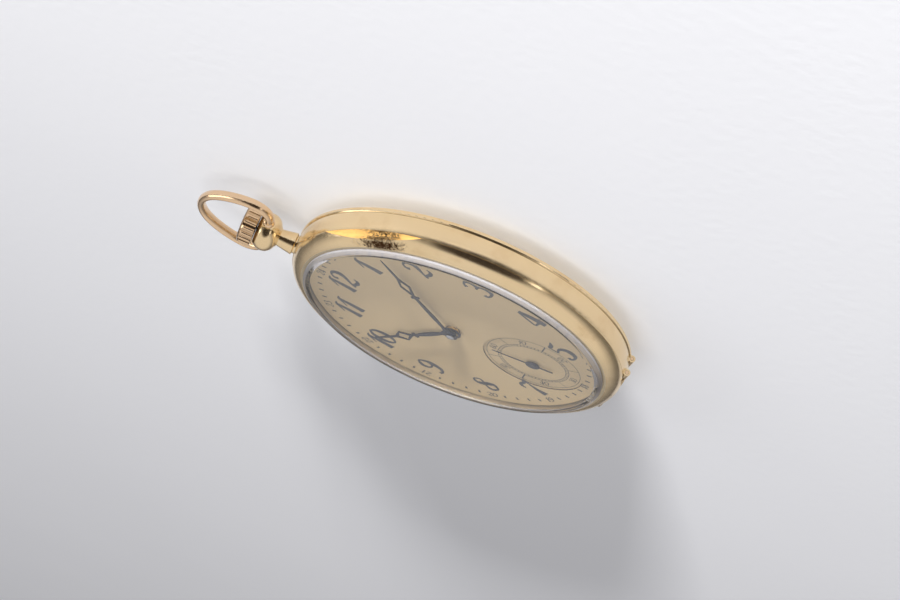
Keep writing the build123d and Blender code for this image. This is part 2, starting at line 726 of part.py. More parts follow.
def barrel_arbor():
    core = stack(
        BARREL,
        (0.9, 2.15, 3.65),
        (0.9, 3.65, 3.95),
        (1.6, 3.95, 4.83),
        (0.7, 4.83, 5.9),
    )
    core += block((BARREL[0] - 0.6, BARREL[1] - 0.6, 1.75), (BARREL[0] + 0.6, BARREL[1] + 0.6, 2.2))
    return core - disc(0.35, 1, 2.9, BARREL)


def mainspring():
    return spiral(1.75, 7.5, 11, 0.16, 4.0, 4.8, BARREL)


def ratchet_wheel():
    phase = meshing(CROWN_WHEEL, CROWN_WHEEL_TEETH, 0, BARREL, RATCHET_TEETH)
    wheel = toothed(RATCHET_TEETH, WINDING_MODULE, 1.75, BRIDGE_LOW_Z, phase, at=BARREL)
    return wheel - block((BARREL[0] - 0.6, BARREL[1] - 0.6, 1), (BARREL[0] + 0.6, BARREL[1] + 0.6, 3))


def centre_screw(at, radius):
    return screw(at, 1.5, radius, 0.25, 0.35, 1.1)


def crown_wheel():
    """Wheel over the bridge with a hub that carries a ring of face teeth under the bridge."""
    shape = toothed(CROWN_WHEEL_TEETH, WINDING_MODULE, 1.75, BRIDGE_LOW_Z)
    shape += disc(1.9, BRIDGE_LOW_Z, 2.85) + disc(3.4, 2.85, 3.2)
    phase = 90 + 180 / CONTRATE_TEETH
    for ridge in face_teeth(CONTRATE_TEETH, 2.8, 3.2, 0.34, 0.16, 3.15, 3.57, phase):
        shape += ridge
    shape -= disc(0.35, 1, 2.9)
    return Pos(CROWN_WHEEL[0], CROWN_WHEEL[1], 0) * shape


def winding_pinion():
    shape = toothed(WINDING_LEAVES, FACE_MODULE, 14.75, 15.65, 90, leaf=True)
    shape += disc(0.9, 15.65, 16.2)
    shape += disc(1.0, 14.65, 14.75)
    shape -= disc(0.62, 14, 17)
    for ridge in face_teeth(12, 0.7, 1.0, 0.18, 0.12, 14.66, 14.45, 15):
        shape += ridge
    return along_stem(shape)


def sliding_pinion():
    shape = disc(1.15, 12.15, 14.4)
    shape -= ring(0.8, 2, 12.95, 13.45)
    shape -= block((-0.44, -0.44, 11), (0.44, 0.44, 15))
    for ridge in face_teeth(12, 0.7, 1.1, 0.18, 0.12, 14.39, 14.6, 0):
        shape += ridge
    for ridge in face_teeth(12, 0.65, 1.14, 0.26, 0.16, 12.16, 11.95, 0):
        shape += ridge
    return along_stem(shape)


def click():
    tip = polar(BARREL, WINDING_MODULE * RATCHET_TEETH / 2 + 0.55, 223)
    shape = bar(CLICK_PIVOT, tip, 0.5, 1.8, 2.1) + disc(0.85, 1.8, 2.1, CLICK_PIVOT)
    return shape - disc(0.42, 1, 3, CLICK_PIVOT)


def click_spring():
    foot = polar(CLICK_PIVOT, 3.4, 245)
    knee = polar(CLICK_PIVOT, 2.2, 290)
    shape = disc(0.6, 1.8, BRIDGE_LOW_Z, foot)
    return shape + bar(foot, knee, 0.16, 1.8, 2.1)


def wheel_plate(teeth, module, low, high, hub, spokes, phase=0.0, at=CENTRE):
    """Toothed wheel with crossed-out spokes."""
    rim = module * teeth / 2 - 4.2 * module
    wheel = toothed(teeth, module, low, high, phase, at=at)
    return wheel - crossings(hub, rim, spokes, 0.16 * rim, low, high, at)


def centre_wheel():
    wheel = wheel_plate(CENTRE_TEETH, CENTRE_MODULE, 2.9, 3.1, 1.3, 5)
    return wheel - disc(0.55, 2, 4)


def centre_pinion():
    """Centre arbor with its leaves, ending in a rounded cap over the hands."""
    arbor = turned(
        (0, 2.2),
        (0.4, 2.2),
        (0.4, 2.85),
        (0.55, 2.85),
        (0.55, 5.25),
        (0.4, 5.25),
        (0.4, 7.62),
        (0.62, 7.62),
        (0.62, 7.68),
        cap_arc(0.62, 7.68, 7.8),
    )
    return arbor + toothed(CENTRE_LEAVES, BARREL_MODULE, 4.3, 4.62, 0, leaf=True)


def cannon_pinion():
    shape = disc(0.62, 5.25, 7.55) - disc(0.42, 5, 8)
    leaves = toothed(CANNON_LEAVES, MOTION_MODULE, 5.25, 5.47, 0, leaf=True)
    return shape + (leaves - disc(0.5, 5, 8))


def third_wheel():
    wheel = wheel_plate(THIRD_TEETH, THIRD_MODULE, 4.2, 4.4, 1.1, 5, at=THIRD)
    return wheel - disc(0.3, 4, 5, THIRD)


def third_pinion():
    phase = meshing(CENTRE, CENTRE_TEETH, 0, THIRD, THIRD_LEAVES)
    shape = stack(THIRD, (PIVOT_RADIUS, 2.5, 4.9), (0.3, 2.78, 4.62))
    return shape + toothed(THIRD_LEAVES, CENTRE_MODULE, 2.82, 3.3, phase, leaf=True, at=THIRD)


def fourth_wheel():
    wheel = wheel_plate(FOURTH_TEETH, FOURTH_MODULE, 3.2, 3.4, 1.0, 5, at=FOURTH)
    return wheel - disc(0.3, 3, 4, FOURTH)


def fourth_pinion():
    phase = meshing(THIRD, THIRD_TEETH, 0, FOURTH, FOURTH_LEAVES)
    shape = stack(FOURTH, (PIVOT_RADIUS, 2.5, 2.9), (0.3, 2.78, 4.62), (0.18, 4.62, 6.62))
    return shape + toothed(FOURTH_LEAVES, THIRD_MODULE, 4.05, 4.5, phase, leaf=True, at=FOURTH)


def escape_wheel():
    """Club-toothed wheel; a tooth tip is 12 degrees off the pallet line."""
    points = []
    step = 360 / ESCAPE_TEETH
    shape = ((2.8, -7.0), (2.85, 1.0), (3.3, -0.6), (3.4, 2.2), (3.26, 2.6), (2.95, 3.8), (2.75, 9.0))
    for tooth in range(ESCAPE_TEETH):
        middle = ESCAPE_LINE_ANGLE + 12 - 0.8 + tooth * step
        for radius, angle in shape:
            points.append(polar(ESCAPE, radius, middle + angle))
    wheel = prism(points, 3.7, 3.9) - crossings(0.8, 2.4, 4, 0.34, 3.7, 3.9, ESCAPE)
    return wheel - disc(0.3, 3, 5, ESCAPE)


def escape_pinion():
    phase = meshing(FOURTH, FOURTH_TEETH, 0, ESCAPE, ESCAPE_LEAVES)
    shape = stack(ESCAPE, (PIVOT_RADIUS, 2.5, 4.9), (0.3, 2.78, 4.62))
    return shape + toothed(ESCAPE_LEAVES, FOURTH_MODULE, 3.05, 3.55, phase, leaf=True, at=ESCAPE)


def pallet_stone(side):
    """Stone whose tip stands just outside the escape wheel while the fork is centred."""
    stone = Pos(ESCAPE_RADIUS + 0.36, 0, 3.8) * Box(0.66, 0.28, 0.2)
    return Pos(ESCAPE[0], ESCAPE[1], 0) * Rot(0, 0, ESCAPE_LINE_ANGLE + side * 30) * stone


def pallet_stones():
    return group([pallet_stone(-1), pallet_stone(1)])


def pallet_fork():
    shape = disc(0.5, 3.7, 3.9, PALLET)
    for side in (-1, 1):
        seat = polar(ESCAPE, 4.05, ESCAPE_LINE_ANGLE + side * 30)
        shape += bar(PALLET, seat, 0.6, 3.7, 3.9)
    neck = polar(PALLET, 2.95, ESCAPE_LINE_ANGLE)
    head = polar(PALLET, 3.25, ESCAPE_LINE_ANGLE)
    shape += bar(PALLET, neck, 0.34, 3.7, 3.9) + disc(0.42, 3.7, 3.9, head)
    notch = Pos(3.62, 0, 3.8) * Box(0.9, 0.3, 1)
    shape -= Pos(PALLET[0], PALLET[1], 0) * Rot(0, 0, ESCAPE_LINE_ANGLE) * notch
    for side in (-1, 1):
        shape -= pallet_stone(side)
    return shape + stack(PALLET, (PIVOT_RADIUS, 3.05, 4.9), (0.24, 3.35, 4.62))


def pallet_cock():
    cock = bar(PALLET, PALLET_COCK_FOOT, 1.9, 3.0, 3.4)
    cock += disc(1.05, 3.3, PLATE_BOTTOM_Z, PALLET_COCK_FOOT)
    cock -= disc(JEWEL_RADIUS, 2.9, 3.3, PALLET)
    cock -= disc(0.3, 2.9, 4, PALLET)
    return cock - disc(0.4, 2, 5, PALLET_COCK_FOOT) - disc(0.7, 2, 3.2, PALLET_COCK_FOOT)


def cock_screws():
    return group(
        [
            screw(PALLET_COCK_FOOT, 3.0, 0.7, 0.2, 0.4, 2.2),
            screw(COCK_FOOT, 1.55, 1.0, 0.3, 0.5, 3.4),
        ]
    )


def balance_wheel():
    rim = ring(BALANCE_RADIUS - 0.55, BALANCE_RADIUS, 2.3, 2.8, BALANCE)
    arm = Rot(0, 0, 20) * Box(2 * BALANCE_RADIUS - 0.8, 0.8, 0.25)
    wheel = rim + Pos(BALANCE[0], BALANCE[1], 2.45) * arm
    wheel += disc(0.9, 2.3, 2.6, BALANCE)
    for side in (0, 180):
        cut = Rot(0, 0, 20 + side + 14) * Pos(BALANCE_RADIUS, 0, 2.55) * Box(2, 0.25, 1)
        wheel -= Pos(BALANCE[0], BALANCE[1], 0) * cut
    for angle in balance_screw_angles():
        wheel -= radial_pin(0.14, BALANCE_RADIUS - 0.4, BALANCE_RADIUS + 1, angle)
    return wheel - disc(0.35, 1, 4, BALANCE)


def balance_screw_angles():
    return [20 + side + 26 + n * 20 for side in (0, 180) for n in range(7)]


def radial_pin(radius, start, end, angle):
    """Cylinder pointing outward from the balance axis at the rim's height."""
    pin = Rot(0, 90, 0) * Cylinder(radius, end - start)
    pin = Rot(0, 0, angle) * Pos((start + end) / 2, 0, 2.55) * pin
    return Pos(BALANCE[0], BALANCE[1], 0) * pin


def balance_screws():
    screws = []
    for angle in balance_screw_angles():
        shape = radial_pin(0.14, BALANCE_RADIUS - 0.4, BALANCE_RADIUS + 0.1, angle)
        screws.append(shape + radial_pin(0.23, BALANCE_RADIUS + 0.01, BALANCE_RADIUS + 0.42, angle))
    return group(screws)


def balance_staff():
    staff = stack(
        BALANCE,
        (PIVOT_RADIUS, 1.75, 4.9),
        (0.35, 2.06, 4.2),
        (0.6, 2.62, 2.9),
        (1.45, 3.3, 3.55),
        (0.24, 4.2, 4.62),
    )
    at = polar(BALANCE, IMPULSE_RADIUS, ESCAPE_LINE_ANGLE + 180)
    return staff + disc(0.12, 3.5, 3.95, at)


def hairspring():
    collet = ring(0.35, 0.62, 2.08, 2.24, BALANCE)
    coil = spiral(0.62, 3.3, 9, 0.05, 2.09, 2.23, BALANCE, start=130)
    return collet + coil


def hairspring_stud():
    at = polar(BALANCE, 3.3 + 0.225, 130)
    return block((at[0] - 0.2, at[1] - 0.2, 2.0), (at[0] + 0.2, at[1] + 0.2, 2.27))


def balance_cock():
    cock = bar(COCK_FOOT, BALANCE, 3.4, 1.6, 2.0) + disc(1.9, 1.55, 2.2, COCK_FOOT)
    cock += disc(1.9, 2.0, PLATE_BOTTOM_Z, COCK_FOOT)
    cock += bar(BALANCE, polar(BALANCE, 3.6, 130), 1.4, 1.6, 2.0)
    cock -= disc(0.5, 1, 5, COCK_FOOT)
    cock -= disc(1.0, 1, 1.85, COCK_FOOT)
    return cock - disc(JEWEL_RADIUS, 1, 3, BALANCE)


def regulator():
    tail = polar(BALANCE, 5.6, 95)
    shape = disc(1.35, 1.45, 1.6, BALANCE) + bar(BALANCE, tail, 0.4, 1.45, 1.6)
    return shape - disc(0.6, 1, 2, BALANCE)


def minute_wheel():
    phase = meshing(CENTRE, CANNON_LEAVES, 0, MINUTE_WHEEL, MINUTE_TEETH)
    wheel = toothed(MINUTE_TEETH, MOTION_MODULE, 5.27, 5.45, phase, at=MINUTE_WHEEL)
    wheel += toothed(MINUTE_LEAVES, HOUR_MODULE, 5.45, 5.8, 0, leaf=True, at=MINUTE_WHEEL)
    return wheel - disc(0.32, 5, 7, MINUTE_WHEEL)


def hour_wheel():
    phase = meshing(MINUTE_WHEEL, MINUTE_LEAVES, 0, CENTRE, HOUR_TEETH)
    wheel = toothed(HOUR_TEETH, HOUR_MODULE, 5.55, 5.75, phase)
    wheel += disc(0.95, 5.5, 6.95)
    return wheel - disc(0.66, 5, 8)


def setting_wheel():
    phase = setting_phase()
    wheel = toothed(SETTING_TEETH, MOTION_MODULE, 5.27, 5.45, phase, at=SETTING_WHEEL)
    return wheel - disc(0.42, 5, 6, SETTING_WHEEL)


def setting_phase():
    minute_phase = meshing(CENTRE, CANNON_LEAVES, 0, MINUTE_WHEEL, MINUTE_TEETH)
    return meshing(MINUTE_WHEEL, MINUTE_TEETH, minute_phase, SETTING_WHEEL, SETTING_TEETH)


def setting_lever():
    tip = (0.15, 17.35)
    shape = bar(SETTING_LEVER_PIVOT, tip, 0.9, 5.47, 5.72)
    shape += disc(0.85, 5.47, 5.72, SETTING_LEVER_PIVOT)
    shape += disc(0.19, 5.14, 5.5, tip)
    return shape - disc(0.42, 5, 7, SETTING_LEVER_PIVOT)


def yoke():
    elbow = (-2.3, 13.4)
    tip = (-0.05, 13.2)
    shape = bar(YOKE_PIVOT, elbow, 0.9, 5.55, 5.75) + bar(elbow, tip, 0.38, 5.55, 5.75)
    shape += disc(0.8, 5.55, 5.75, YOKE_PIVOT)
    return shape - disc(0.42, 5, 7, YOKE_PIVOT)


def yoke_spring():
    foot = (-4.3, 17.9)
    shape = disc(0.55, PLATE_LEDGE_Z, 5.7, foot) + bar(foot, (-4.75, 14.2), 0.16, 5.3, 5.7)
    return shape


def dial():
    plate = disc(DIAL_RADIUS, PLATE_TOP_Z, PLATE_TOP_Z + DIAL_THICKNESS)
    top = PLATE_TOP_Z + DIAL_THICKNESS
    plate -= disc(SECONDS_RECESS_RADIUS, top - SECONDS_RECESS_DEPTH, top + 1, FOURTH)
    plate -= disc(1.05, 5, 8)
    plate -= disc(0.3, 5, 8, FOURTH)
    for angle in (30, 210):
        plate += disc(0.4, 5.1, PLATE_TOP_Z + 0.1, polar(CENTRE, 16.5, angle))
    return plate


def hand_outline(points):
    """Closed outline symmetric about the hand's axis, from half widths along it."""
    right = [(half, along) for along, half in points]
    left = [(-half, along) for along, half in reversed(points)]
    return right + left


def open_lozenge(start, end, half, rail):
    """Opening inside a lozenge of a hand."""
    middle = start + 0.53 * (end - start)
    inner = half - rail
    return [(0, start + 2.2 * rail), (inner, middle), (0, end - 2.2 * rail), (-inner, middle)]


def hour_hand():
    outline = hand_outline(
        [
            (-1.35, 0.5),
            (0.9, 0.75),
            (2.2, 0.3),
            (3.6, 0.42),
            (5.2, 0.45),
            (6.6, 0.34),
            (7.35, 0.22),
            (7.4, 0.62),
            (7.9, 0.62),
            (7.95, 0.2),
            (8.35, 0.2),
            (10.15, 1.25),
            (11.85, 0.22),
            (14.0, 0.2),
            (16.6, 0.03),
        ]
    )
    shape = prism(outline, HOUR_HAND_Z, HOUR_HAND_Z + 0.12) + disc(1.35, HOUR_HAND_Z, HOUR_HAND_Z + 0.14)
    shape -= prism(open_lozenge(8.35, 11.85, 1.25, 0.3), 6, 8)
    return clock_turn(HOUR_HAND_ANGLE) * (shape - disc(0.95, 6, 8))


def minute_hand():
    outline = hand_outline(
        [
            (-1.0, 0.4),
            (1.0, 0.5),
            (2.4, 0.24),
            (5.2, 0.36),
            (8.4, 0.27),
            (9.95, 0.2),
            (10.0, 0.66),
            (10.42, 0.66),
            (10.47, 0.18),
            (10.75, 0.18),
            (13.0, 0.85),
            (15.1, 0.18),
            (17.5, 0.15),
            (19.8, 0.02),
        ]
    )
    shape = prism(outline, MINUTE_HAND_Z, MINUTE_HAND_Z + 0.12)
    shape += disc(1.0, MINUTE_HAND_Z, MINUTE_HAND_Z + 0.14)
    shape -= prism(open_lozenge(10.75, 15.1, 0.85, 0.26), 6, 8)
    return clock_turn(MINUTE_HAND_ANGLE) * (shape - disc(0.62, 6, 8))


def seconds_hand():
    outline = hand_outline([(-3.0, 0.16), (-2.0, 0.14), (0, 0.12), (3.5, 0.09), (6.1, 0.03)])
    top = SECONDS_HAND_Z + 0.08
    shape = prism(outline, SECONDS_HAND_Z, top) + disc(1.05, SECONDS_HAND_Z, top)
    shape -= disc(0.18, 6, 8)
    turned_hand = clock_turn(SECONDS_HAND_ANGLE) * shape
    return Pos(FOURTH[0], FOURTH[1], 0) * turned_hand


NODES = {
    "case_middle": case_middle,
    "pendant": pendant,
    "bezel": bezel,
    "crystal": crystal,
    "back_cover": back_cover,
    "cuvette": cuvette,
    "bezel_hinge_pin": lambda: hinge_pin(BEZEL_HINGE_Z),
    "back_hinge_pin": lambda: hinge_pin(BACK_HINGE_Z),
    "case_screws": case_screws,
    "bow": bow,
    "crown": crown,
    "stem": stem,
    "main_plate": main_plate,
    "barrel_bridge": barrel_bridge,
    "train_bridge": train_bridge,
    "bridge_screws": bridge_screws,
    "jewels": jewels,
    "barrel_drum": barrel_drum,
    "barrel_cover": barrel_cover,
    "barrel_arbor": barrel_arbor,
    "mainspring": mainspring,
    "ratchet_wheel": ratchet_wheel,
    "ratchet_screw": lambda: centre_screw(BARREL, 1.4),
    "crown_wheel": crown_wheel,
    "crown_wheel_screw": lambda: centre_screw(CROWN_WHEEL, 1.2),
    "winding_pinion": winding_pinion,
    "sliding_pinion": sliding_pinion,
    "click": click,
    "click_spring": click_spring,
    "centre_wheel": centre_wheel,
    "centre_pinion": centre_pinion,
    "cannon_pinion": cannon_pinion,
    "third_wheel": third_wheel,
    "third_pinion": third_pinion,
    "fourth_wheel": fourth_wheel,
    "fourth_pinion": fourth_pinion,
    "escape_wheel": escape_wheel,
    "escape_pinion": escape_pinion,
    "pallet_fork": pallet_fork,
    "pallet_stones": pallet_stones,
    "pallet_cock": pallet_cock,
    "cock_screws": cock_screws,
    "balance_wheel": balance_wheel,
    "balance_screws": balance_screws,
    "balance_staff": balance_staff,
    "hairspring": hairspring,
    "hairspring_stud": hairspring_stud,
    "balance_cock": balance_cock,
    "regulator": regulator,
    "minute_wheel": minute_wheel,
    "hour_wheel": hour_wheel,
    "setting_wheel": setting_wheel,
    "setting_lever": setting_lever,
    "yoke": yoke,
    "yoke_spring": yoke_spring,
    "dial": dial,
    "dial_screws": dial_screws,
    "hour_hand": hour_hand,
    "minute_hand": minute_hand,
    "seconds_hand": seconds_hand,
}

os.makedirs("parts", exist_ok=True)
for name, make in NODES.items():
    export_step(make(), f"parts/{name}.step")
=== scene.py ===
import math

import bmesh
import bpy
from mathutils import Matrix, Vector


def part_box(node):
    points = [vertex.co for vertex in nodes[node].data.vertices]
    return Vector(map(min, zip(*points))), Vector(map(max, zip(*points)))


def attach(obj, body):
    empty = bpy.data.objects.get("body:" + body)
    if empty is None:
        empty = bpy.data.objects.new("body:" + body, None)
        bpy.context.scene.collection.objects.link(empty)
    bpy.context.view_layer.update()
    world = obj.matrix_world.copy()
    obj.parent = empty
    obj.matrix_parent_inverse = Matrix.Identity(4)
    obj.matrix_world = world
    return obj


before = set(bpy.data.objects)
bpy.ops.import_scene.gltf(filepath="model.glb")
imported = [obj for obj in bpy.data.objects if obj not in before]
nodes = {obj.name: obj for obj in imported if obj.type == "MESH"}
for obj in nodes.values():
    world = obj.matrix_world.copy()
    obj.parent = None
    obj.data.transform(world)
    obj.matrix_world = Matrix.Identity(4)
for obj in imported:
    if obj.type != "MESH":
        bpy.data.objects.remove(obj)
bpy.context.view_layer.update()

MM = 0.001


def rgb(red, green, blue):
    return (red, green, blue, 1.0)


# ---------------------------------------------------------------- places and sizes

CASE_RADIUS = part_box("case_middle")[1].x
BEZEL_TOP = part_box("bezel")[1].z
CRYSTAL_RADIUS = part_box("crystal")[1].x
CROWN_MIDDLE = sum(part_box("crown"), Vector()) / 2
CROWN_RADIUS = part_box("crown")[1].x
DIAL_MIDDLE = (0, 0)
DIAL_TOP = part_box("dial")[1].z
SECONDS_MIDDLE = sum(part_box("fourth_pinion"), Vector()) / 2
SECONDS_FLOOR = DIAL_TOP - 0.15 * MM

# The bezel's inner wall and the crystal's rim, where a grey ring is painted in place of the light its edge
# refracts, measured from the axis of the case.
INNER_WALL_RADIUS = CRYSTAL_RADIUS + 0.1 * MM
PAINTED_RIM_RADIUS = CRYSTAL_RADIUS - 1.0 * MM
PAINTED_RIM_FADE = 0.3 * MM

# The patch of the bezel that is worn through, clockwise from twelve o'clock.
WEAR_ANGLE = math.radians(53)
WEAR_RADIUS = CASE_RADIUS - 1.7 * MM
WEAR_HEIGHT = BEZEL_TOP - 0.55 * MM
WEAR_LENGTH = 6.2 * MM
WEAR_WIDTH = 2.1 * MM

PLATE_STRIPE = 1.4 * MM

# Printing on the dial. A weight makes the strokes of a figure broader or finer than drawn.
HOURS_SHOWN = (1, 2, 3, 4, 5, 7, 8, 9, 10, 11, 12)
HOUR_RADIUS = 16.6 * MM
HOUR_HEIGHT = 4.2 * MM
HOUR_WEIGHT = 1.3
TRACK_RADIUS = 20.0 * MM
TRACK_DASH = (TRACK_RADIUS - 0.35 * MM, TRACK_RADIUS + 0.35 * MM)
TRACK_DASH_WIDTH = 0.34 * MM
TRACK_FIGURE_HEIGHT = 1.25 * MM
SECONDS_RINGS = (6.9 * MM, 5.25 * MM, 4.8 * MM)
SECONDS_RING_WIDTH = 0.07 * MM
SECONDS_DASH = (4.83 * MM, 5.22 * MM)
SECONDS_DASH_WIDTH = 0.1 * MM
SECONDS_SPOKE = (5.28 * MM, 6.87 * MM)
THIN_SPOKE = 0.08 * MM
BROAD_SPOKE = 0.22 * MM
SPOKE_WIDTHS = {
    **{second: THIN_SPOKE for second in (5, 25, 35, 55)},
    **{second: BROAD_SPOKE for second in (15, 45)},
}
SECONDS_FIGURE_RADIUS = 6.07 * MM
SECONDS_FIGURE_HEIGHT = 1.05 * MM
SECONDS_FIGURE_WEIGHT = 0.8

# Ink stands this far above and below the dial. Each further stroke of a number lies one step higher.
INK = 0.012 * MM
INK_STEP = 0.002 * MM

# Floor, camera and the points the lamps are aimed at.
FLOOR_HALF = 3.0
CAMERA_PLACE = Vector((0.264743, 0.015567, 0.111024))
CAMERA_RIGHT = Vector((0.191332, -0.915516, -0.353867))
CAMERA_UP = Vector((0.328593, 0.39947, -0.855833))
CAMERA_LENS = 81.7
CAMERA_SENSOR = 36
CAMERA_CLIP = 0.01
CASE_BOTTOM = (0, 0, 0)
CASE_CENTRE = (0, 0, 0.005)
NEAR_PENDANT = (-0.01, 0.03, 0)

# Height in the sky from horizon to zenith, and the grey there.
SKY_STOPS = ((0.0, 0.10), (0.25, 0.20), (0.62, 0.60), (1.0, 0.62))
SKY_STRENGTH = 0.62
SKY_EXTRA_IN_REFLECTIONS = 0.63

# ---------------------------------------------------------------- colours, darker and lighter

YELLOW_GOLD = (rgb(0.86, 0.63, 0.34), rgb(0.94, 0.73, 0.45))
ROSE_GOLD = (rgb(0.82, 0.55, 0.33), rgb(0.9, 0.66, 0.42))
TARNISH = rgb(0.66, 0.42, 0.2)
GOLD_IN_REFLECTIONS = rgb(0.93, 0.82, 0.6)
WEAR_PIT = rgb(0.08, 0.035, 0.012)
DULL_GOLD = rgb(0.62, 0.52, 0.36)
# Painted shade for the deep grooves of the crown.
CROWN_GROOVE_SHADE = rgb(0.13, 0.06, 0.02)
GILT = (rgb(0.62, 0.48, 0.27), rgb(0.74, 0.6, 0.37))
BRASS = (rgb(0.68, 0.47, 0.2), rgb(0.8, 0.6, 0.29))
STEEL = (rgb(0.45, 0.46, 0.48), rgb(0.6, 0.61, 0.63))
BLUED_STEEL = (rgb(0.025, 0.04, 0.11), rgb(0.04, 0.07, 0.2))
DARK_BLUED_STEEL = (rgb(0.012, 0.017, 0.04), rgb(0.02, 0.03, 0.07))
RUBY = (rgb(0.75, 0.05, 0.13), rgb(0.9, 0.12, 0.24))
GLASS = rgb(0.97, 0.975, 0.985)
# Greys of the ring painted on the crystal's rim in place of the light its edge refracts.
PAINTED_RIM_GREYS = (rgb(0.19, 0.185, 0.19), rgb(0.25, 0.24, 0.25))
PAINTED_RIM_TRANSLUCENCE = rgb(0.5, 0.48, 0.49)
GLASS_SHADOW = rgb(0.93, 0.93, 0.93)
CHAMPAGNE = (rgb(0.77, 0.56, 0.29), rgb(0.85, 0.64, 0.36))
DIAL_GRAIN = rgb(0.45, 0.35, 0.2)
AGE_SPOT = rgb(0.30, 0.18, 0.08)
# Painted shade for the upright walls of the dial.
DIAL_WALL_SHADE = rgb(0.03, 0.022, 0.015)
CARD = (rgb(0.82, 0.82, 0.845), rgb(0.86, 0.86, 0.885))
INK_BLACK = (rgb(0.018, 0.021, 0.03), rgb(0.06, 0.06, 0.068))
DIM_PATCH = rgb(0.035, 0.03, 0.028)

# ---------------------------------------------------------------- small helpers for building shaders


class Shader:
    """The nodes of a new material or world. Inputs may be numbers, colours or the output of another node."""

    def __init__(self, owner):
        self.owner = owner
        self.owner.use_nodes = True
        self.tree = owner.node_tree
        self.tree.nodes.clear()
        self.place = self.node("TexCoord").outputs["Object"]

    def node(self, kind, settings=None, **inputs):
        made = self.tree.nodes.new("ShaderNode" + kind)
        for key, value in (settings or {}).items():
            setattr(made, key, value)
        for key, value in inputs.items():
            self.plug(made.inputs[key.replace("_", " ")], value)
        return made

    def plug(self, socket, value):
        if isinstance(value, bpy.types.NodeSocket):
            self.tree.links.new(value, socket)
        else:
            socket.default_value = value

    def math(self, operation, a, b=0.0, c=0.0):
        made = self.node("Math", {"operation": operation})
        for socket, value in zip(made.inputs, (a, b, c)):
            self.plug(socket, value)
        return made.outputs[0]

    def vector(self, operation, a, b=(0, 0, 0)):
        made = self.node("VectorMath", {"operation": operation})
        self.plug(made.inputs[0], a)
        self.plug(made.inputs[1], b)
        return made.outputs["Value"] if operation in ("LENGTH", "DOT_PRODUCT") else made.outputs["Vector"]

    def stretched(self, scale, place=None):
        return self.node("Mapping", Vector=place or self.place, Scale=scale).outputs["Vector"]

    def noise(self, scale, detail=4.0, roughness=0.55, place=None):
        made = self.node("TexNoise", Vector=place or self.place, Scale=scale, Detail=detail,
                         Roughness=roughness)
        return made.outputs["Fac"]

    def cells(self, scale):
        return self.node("TexVoronoi", Vector=self.place, Scale=scale).outputs["Distance"]

    def ramp(self, value, low, high, to_low=0.0, to_high=1.0, smooth=False):
        """Value taken from the range low to high over to another range, held at its ends."""
        made = self.node("MapRange", {"interpolation_type": "SMOOTHSTEP" if smooth else "LINEAR"})
        names = ("Value", "From Min", "From Max", "To Min", "To Max")
        for name, number in zip(names, (value, low, high, to_low, to_high)):
            self.plug(made.inputs[name], number)
        return made.outputs["Result"]

    def mix(self, share, first, second):
        """Colour between two, by the share of the second."""
        made = self.node("Mix", {"data_type": "RGBA"})
        self.plug(made.inputs["Factor"], share)
        self.plug(made.inputs["A"], first)
        self.plug(made.inputs["B"], second)
        return made.outputs["Result"]

    def bump(self, height, distance, strength, normal=None):
        made = self.node("Bump", Strength=strength, Distance=distance, Height=height)
        if normal is not None:
            self.plug(made.inputs["Normal"], normal)
        return made.outputs["Normal"]

    def surface(self, kind="BsdfPrincipled", **inputs):
        return self.node(kind, **inputs).outputs["BSDF"]

    def blend(self, share, first, second):
        """Surface between two, by the share of the second."""
        made = self.node("MixShader", Fac=share)
        self.plug(made.inputs[1], first)
        self.plug(made.inputs[2], second)
        return made.outputs["Shader"]

    def finish(self, surface):
        self.node("OutputMaterial", Surface=surface)
        return self.owner


def new_material(name):
    return Shader(bpy.data.materials.new(name))


# ---------------------------------------------------------------- gold


def polished_gold(shader, dark, light):
    """Colour, roughness and normal of polished gold with fine hairlines, faint dents and tarnish."""
    colour = shader.mix(shader.noise(90, 3), dark, light)
    tarnish = shader.ramp(shader.noise(260, 5, 0.65), 0.52, 0.78, 0.0, 0.45)
    colour = shader.mix(tarnish, colour, TARNISH)
    reflected = shader.ramp(shader.node("LightPath").outputs["Ray Depth"], 0.0, 1.0, 0.0, 0.75)
    colour = shader.mix(reflected, colour, GOLD_IN_REFLECTIONS)
    hairlines = shader.noise(900, 6, 0.7, shader.stretched((1, 1, 9)))
    roughness = shader.ramp(hairlines, 0.3, 0.8, 0.12, 0.27)
    scratches = shader.noise(2600, 3, 0.6, shader.stretched((0.25, 2.2, 1)))
    normal = shader.bump(shader.noise(130, 2), 0.09 * MM, 0.7)
    normal = shader.bump(scratches, 0.0014 * MM, 0.8, normal)
    return colour, roughness, normal


def worn_patch(shader, colour, roughness, normal):
    """Dark speckles where the gold is worn through, closer together toward the middle of the patch."""
    middle = (WEAR_RADIUS * math.sin(WEAR_ANGLE), WEAR_RADIUS * math.cos(WEAR_ANGLE), WEAR_HEIGHT)
    away = shader.vector("SUBTRACT", shader.place, middle)
    turned = shader.node("VectorRotate", {"rotation_type": "Z_AXIS"}, Vector=away, Angle=WEAR_ANGLE)
    scale = (1 / WEAR_LENGTH, 1 / WEAR_WIDTH, 1 / WEAR_WIDTH)
    reach = shader.vector("LENGTH", shader.stretched(scale, turned.outputs["Vector"]))
    patch = shader.ramp(reach, 1.1, 0.1)
    share = shader.math("MULTIPLY_ADD", patch, 0.46, shader.noise(2500, 6, 0.85))
    pits = shader.ramp(share, 0.76, 0.88)
    colour = shader.mix(pits, colour, WEAR_PIT)
    roughness = shader.math("MULTIPLY_ADD", pits, 0.45, roughness)
    normal = shader.bump(shader.math("MULTIPLY", pits, -1.0), 0.04 * MM, 1.0, normal)
    return colour, roughness, normal


